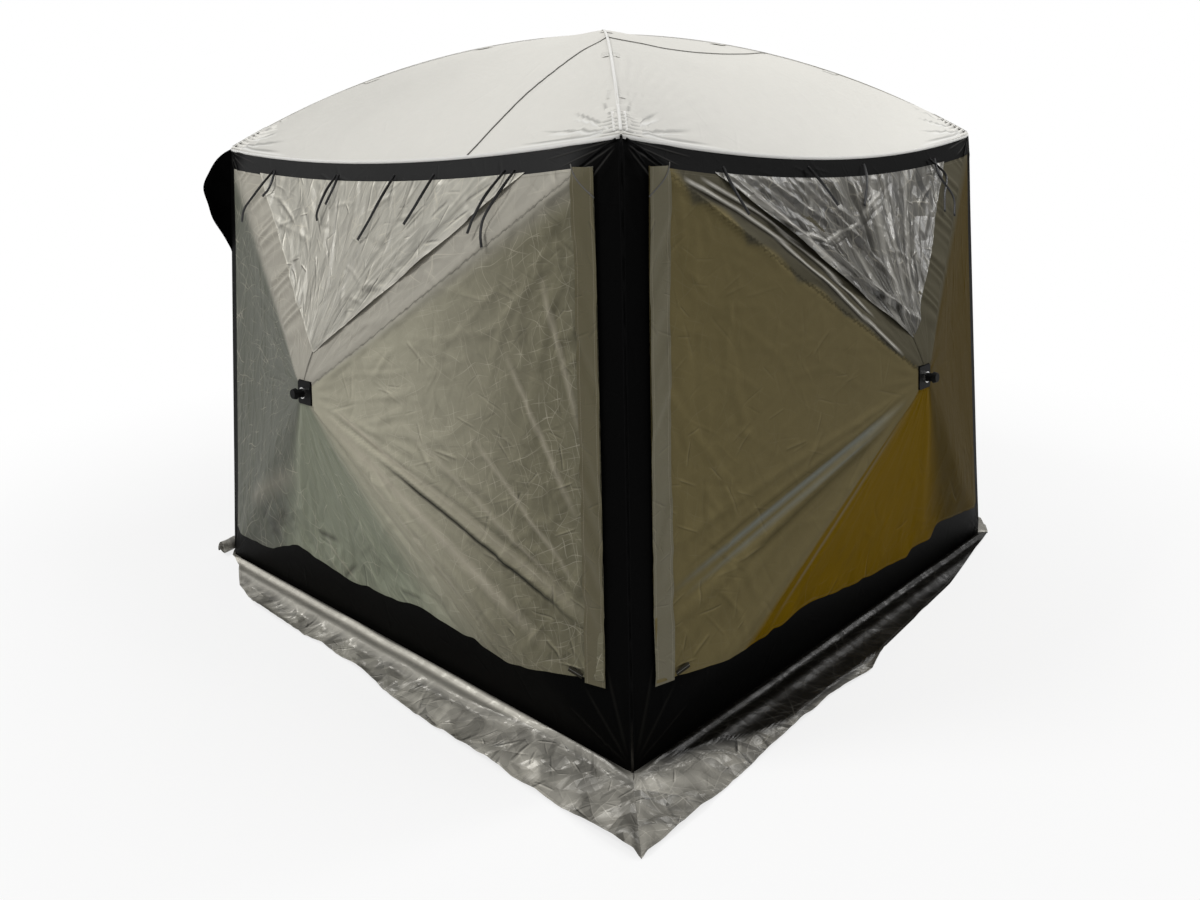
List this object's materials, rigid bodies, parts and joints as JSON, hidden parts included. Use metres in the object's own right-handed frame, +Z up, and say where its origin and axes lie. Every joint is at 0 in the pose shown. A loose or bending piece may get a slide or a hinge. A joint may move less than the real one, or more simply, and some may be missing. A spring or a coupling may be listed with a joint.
{
  "type": "screen tent",
  "caption": "Pop-up hub screen tent: arched pale canopy, black trimmed walls with wind panels and window flaps over insect net, pole cage with push-out hubs, ground skirt.",
  "frame": {"origin": "middle of the square base, on the ground", "axes": "+Z up; -Y out of the wall on the left of the picture, +X out of the wall on the right of it"},
  "size_m": [2.9436, 2.9436, 2.15],
  "materials": {
    "canopy_cloth": "pale grey coated polyester, soft sheen",
    "black_cloth": "matt black polyester",
    "screen_net": "fine black insect net",
    "panel_cloth": "taupe coated polyester, thin enough to let some light through",
    "skirt_film": "crinkled silver-grey coated cloth",
    "rod_glass": "black glass-fibre rod with ferrules",
    "hub_plastic": "black moulded nylon",
    "bright_metal": "bright plated ring"
  },
  "bodies": {
    "shell": {"roof_canopy": "canopy_cloth", "ground_skirt": "skirt_film", "wall_trim_front": "black_cloth", "screen_front": "screen_net", "wind_panel_front": "panel_cloth", "wall_trim_right": "black_cloth", "screen_right": "screen_net", "wind_panel_right": "panel_cloth", "wall_trim_back": "black_cloth", "screen_back": "screen_net", "wind_panel_back": "panel_cloth", "wall_trim_left": "black_cloth", "screen_left": "screen_net", "wind_panel_left": "panel_cloth", "top_bracket_fr": "hub_plastic", "foot_bracket_fr": "hub_plastic", "top_bracket_br": "hub_plastic", "foot_bracket_br": "hub_plastic", "top_bracket_bl": "hub_plastic", "foot_bracket_bl": "hub_plastic", "top_bracket_fl": "hub_plastic", "foot_bracket_fl": "hub_plastic"},
    "hub_front": {"wall_hub_front": "hub_plastic", "hub_plate_front": "hub_plastic", "hub_collar_front": "bright_metal"},
    "hub_right": {"wall_hub_right": "hub_plastic", "hub_plate_right": "hub_plastic", "hub_collar_right": "bright_metal"},
    "hub_back": {"wall_hub_back": "hub_plastic", "hub_plate_back": "hub_plastic", "hub_collar_back": "bright_metal"},
    "hub_left": {"wall_hub_left": "hub_plastic", "hub_plate_left": "hub_plastic", "hub_collar_left": "bright_metal"},
    "hub_roof": {"roof_hub": "hub_plastic", "roof_cap": "hub_plastic"},
    "pole_front_ur": {"wall_pole_front_ur": "rod_glass"},
    "pole_front_ul": {"wall_pole_front_ul": "rod_glass"},
    "pole_front_lr": {"wall_pole_front_lr": "rod_glass"},
    "pole_front_ll": {"wall_pole_front_ll": "rod_glass"},
    "pole_right_ur": {"wall_pole_right_ur": "rod_glass"},
    "pole_right_ul": {"wall_pole_right_ul": "rod_glass"},
    "pole_right_lr": {"wall_pole_right_lr": "rod_glass"},
    "pole_right_ll": {"wall_pole_right_ll": "rod_glass"},
    "pole_back_ur": {"wall_pole_back_ur": "rod_glass"},
    "pole_back_ul": {"wall_pole_back_ul": "rod_glass"},
    "pole_back_lr": {"wall_pole_back_lr": "rod_glass"},
    "pole_back_ll": {"wall_pole_back_ll": "rod_glass"},
    "pole_left_ur": {"wall_pole_left_ur": "rod_glass"},
    "pole_left_ul": {"wall_pole_left_ul": "rod_glass"},
    "pole_left_lr": {"wall_pole_left_lr": "rod_glass"},
    "pole_left_ll": {"wall_pole_left_ll": "rod_glass"},
    "roof_pole_fr": {"roof_pole_fr": "rod_glass"},
    "roof_pole_br": {"roof_pole_br": "rod_glass"},
    "roof_pole_bl": {"roof_pole_bl": "rod_glass"},
    "roof_pole_fl": {"roof_pole_fl": "rod_glass"},
    "flap_front": {"window_flap_front": "panel_cloth"},
    "flap_right": {"window_flap_right": "panel_cloth"},
    "flap_back": {"window_flap_back": "panel_cloth"},
    "flap_left": {"window_flap_left": "panel_cloth"}
  },
  "joints": [
    {"name": "hub_pop_front", "type": "slide", "parent": "shell", "child": "hub_front", "axis": [0, 0.9963, -0.0854], "range_m": [0, 0.57]},
    {"name": "hub_pop_right", "type": "slide", "parent": "shell", "child": "hub_right", "axis": [-0.9963, 0, -0.0854], "range_m": [0, 0.57]},
    {"name": "hub_pop_back", "type": "slide", "parent": "shell", "child": "hub_back", "axis": [0, -0.9963, -0.0854], "range_m": [0, 0.57]},
    {"name": "hub_pop_left", "type": "slide", "parent": "shell", "child": "hub_left", "axis": [0.9963, 0, -0.0854], "range_m": [0, 0.57]},
    {"name": "hub_pop_roof", "type": "slide", "parent": "shell", "child": "hub_roof", "axis": [0, 0, -1], "range_m": [0, 0.67062]},
    {"name": "pole_swing_front_ur", "type": "hinge", "parent": "shell", "child": "pole_front_ur", "pos_m": [0.97424, -1.03696, 1.69135], "axis": [0.6034, -0.0681, -0.7946], "range_deg": [0, 27.39]},
    {"name": "pole_swing_front_ul", "type": "hinge", "parent": "shell", "child": "pole_front_ul", "pos_m": [-0.97424, -1.03696, 1.69135], "axis": [0.6034, 0.0681, 0.7946], "range_deg": [0, 27.39]},
    {"name": "pole_swing_front_lr", "type": "hinge", "parent": "shell", "child": "pole_front_lr", "pos_m": [1.12588, -1.17699, 0.05767], "axis": [-0.6255, -0.0666, -0.7774], "range_deg": [0, 23.16]},
    {"name": "pole_swing_front_ll", "type": "hinge", "parent": "shell", "child": "pole_front_ll", "pos_m": [-1.12588, -1.17699, 0.05767], "axis": [-0.6255, 0.0666, 0.7774], "range_deg": [0, 23.16]},
    {"name": "pole_swing_right_ur", "type": "hinge", "parent": "shell", "child": "pole_right_ur", "pos_m": [1.03696, 0.97424, 1.69135], "axis": [0.0681, 0.6034, -0.7946], "range_deg": [0, 27.39]},
    {"name": "pole_swing_right_ul", "type": "hinge", "parent": "shell", "child": "pole_right_ul", "pos_m": [1.03696, -0.97424, 1.69135], "axis": [-0.0681, 0.6034, 0.7946], "range_deg": [0, 27.39]},
    {"name": "pole_swing_right_lr", "type": "hinge", "parent": "shell", "child": "pole_right_lr", "pos_m": [1.17699, 1.12588, 0.05767], "axis": [0.0666, -0.6255, -0.7774], "range_deg": [0, 23.16]},
    {"name": "pole_swing_right_ll", "type": "hinge", "parent": "shell", "child": "pole_right_ll", "pos_m": [1.17699, -1.12588, 0.05767], "axis": [-0.0666, -0.6255, 0.7774], "range_deg": [0, 23.16]},
    {"name": "pole_swing_back_ur", "type": "hinge", "parent": "shell", "child": "pole_back_ur", "pos_m": [-0.97424, 1.03696, 1.69135], "axis": [-0.6034, 0.0681, -0.7946], "range_deg": [0, 27.39]},
    {"name": "pole_swing_back_ul", "type": "hinge", "parent": "shell", "child": "pole_back_ul", "pos_m": [0.97424, 1.03696, 1.69135], "axis": [-0.6034, -0.0681, 0.7946], "range_deg": [0, 27.39]},
    {"name": "pole_swing_back_lr", "type": "hinge", "parent": "shell", "child": "pole_back_lr", "pos_m": [-1.12588, 1.17699, 0.05767], "axis": [0.6255, 0.0666, -0.7774], "range_deg": [0, 23.16]},
    {"name": "pole_swing_back_ll", "type": "hinge", "parent": "shell", "child": "pole_back_ll", "pos_m": [1.12588, 1.17699, 0.05767], "axis": [0.6255, -0.0666, 0.7774], "range_deg": [0, 23.16]},
    {"name": "pole_swing_left_ur", "type": "hinge", "parent": "shell", "child": "pole_left_ur", "pos_m": [-1.03696, -0.97424, 1.69135], "axis": [-0.0681, -0.6034, -0.7946], "range_deg": [0, 27.39]},
    {"name": "pole_swing_left_ul", "type": "hinge", "parent": "shell", "child": "pole_left_ul", "pos_m": [-1.03696, 0.97424, 1.69135], "axis": [0.0681, -0.6034, 0.7946], "range_deg": [0, 27.39]},
    {"name": "pole_swing_left_lr", "type": "hinge", "parent": "shell", "child": "pole_left_lr", "pos_m": [-1.17699, -1.12588, 0.05767], "axis": [-0.0666, 0.6255, -0.7774], "range_deg": [0, 23.16]},
    {"name": "pole_swing_left_ll", "type": "hinge", "parent": "shell", "child": "pole_left_ll", "pos_m": [-1.17699, 1.12588, 0.05767], "axis": [0.0666, 0.6255, 0.7774], "range_deg": [0, 23.16]},
    {"name": "pole_swing_roof_fr", "type": "hinge", "parent": "shell", "child": "roof_pole_fr", "pos_m": [1.0005, -1.0005, 1.75769], "axis": [-0.7071, -0.7071, 0], "range_deg": [0, 27.64]},
    {"name": "pole_swing_roof_br", "type": "hinge", "parent": "shell", "child": "roof_pole_br", "pos_m": [1.0005, 1.0005, 1.75769], "axis": [0.7071, -0.7071, 0], "range_deg": [0, 27.64]},
    {"name": "pole_swing_roof_bl", "type": "hinge", "parent": "shell", "child": "roof_pole_bl", "pos_m": [-1.0005, 1.0005, 1.75769], "axis": [0.7071, 0.7071, 0], "range_deg": [0, 27.64]},
    {"name": "pole_swing_roof_fl", "type": "hinge", "parent": "shell", "child": "roof_pole_fl", "pos_m": [-1.0005, -1.0005, 1.75769], "axis": [-0.7071, 0.7071, 0], "range_deg": [0, 27.64]},
    {"name": "flap_lift_front", "type": "hinge", "parent": "shell", "child": "flap_front", "pos_m": [0, -1.12789, 1.60617], "axis": [-1, 0, 0], "range_deg": [0, 100]},
    {"name": "flap_lift_right", "type": "hinge", "parent": "shell", "child": "flap_right", "pos_m": [1.12789, 0, 1.60617], "axis": [0, -1, 0], "range_deg": [0, 100]},
    {"name": "flap_lift_back", "type": "hinge", "parent": "shell", "child": "flap_back", "pos_m": [0, 1.12789, 1.60617], "axis": [1, 0, 0], "range_deg": [0, 100]},
    {"name": "flap_lift_left", "type": "hinge", "parent": "shell", "child": "flap_left", "pos_m": [-1.12789, 0, 1.60617], "axis": [0, 1, 0], "range_deg": [0, 100]}
  ],
  "couplings": [
    {"joint": "pole_swing_front_ur", "follows": "hub_pop_front", "rad_per_m": 0.83861},
    {"joint": "pole_swing_front_ul", "follows": "hub_pop_front", "rad_per_m": 0.83861},
    {"joint": "pole_swing_front_lr", "follows": "hub_pop_front", "rad_per_m": 0.70909},
    {"joint": "pole_swing_front_ll", "follows": "hub_pop_front", "rad_per_m": 0.70909},
    {"joint": "pole_swing_right_ur", "follows": "hub_pop_right", "rad_per_m": 0.83861},
    {"joint": "pole_swing_right_ul", "follows": "hub_pop_right", "rad_per_m": 0.83861},
    {"joint": "pole_swing_right_lr", "follows": "hub_pop_right", "rad_per_m": 0.70909},
    {"joint": "pole_swing_right_ll", "follows": "hub_pop_right", "rad_per_m": 0.70909},
    {"joint": "pole_swing_back_ur", "follows": "hub_pop_back", "rad_per_m": 0.83861},
    {"joint": "pole_swing_back_ul", "follows": "hub_pop_back", "rad_per_m": 0.83861},
    {"joint": "pole_swing_back_lr", "follows": "hub_pop_back", "rad_per_m": 0.70909},
    {"joint": "pole_swing_back_ll", "follows": "hub_pop_back", "rad_per_m": 0.70909},
    {"joint": "pole_swing_left_ur", "follows": "hub_pop_left", "rad_per_m": 0.83861},
    {"joint": "pole_swing_left_ul", "follows": "hub_pop_left", "rad_per_m": 0.83861},
    {"joint": "pole_swing_left_lr", "follows": "hub_pop_left", "rad_per_m": 0.70909},
    {"joint": "pole_swing_left_ll", "follows": "hub_pop_left", "rad_per_m": 0.70909},
    {"joint": "pole_swing_roof_fr", "follows": "hub_pop_roof", "rad_per_m": 0.71943},
    {"joint": "pole_swing_roof_br", "follows": "hub_pop_roof", "rad_per_m": 0.71943},
    {"joint": "pole_swing_roof_bl", "follows": "hub_pop_roof", "rad_per_m": 0.71943},
    {"joint": "pole_swing_roof_fl", "follows": "hub_pop_roof", "rad_per_m": 0.71943}
  ]
}
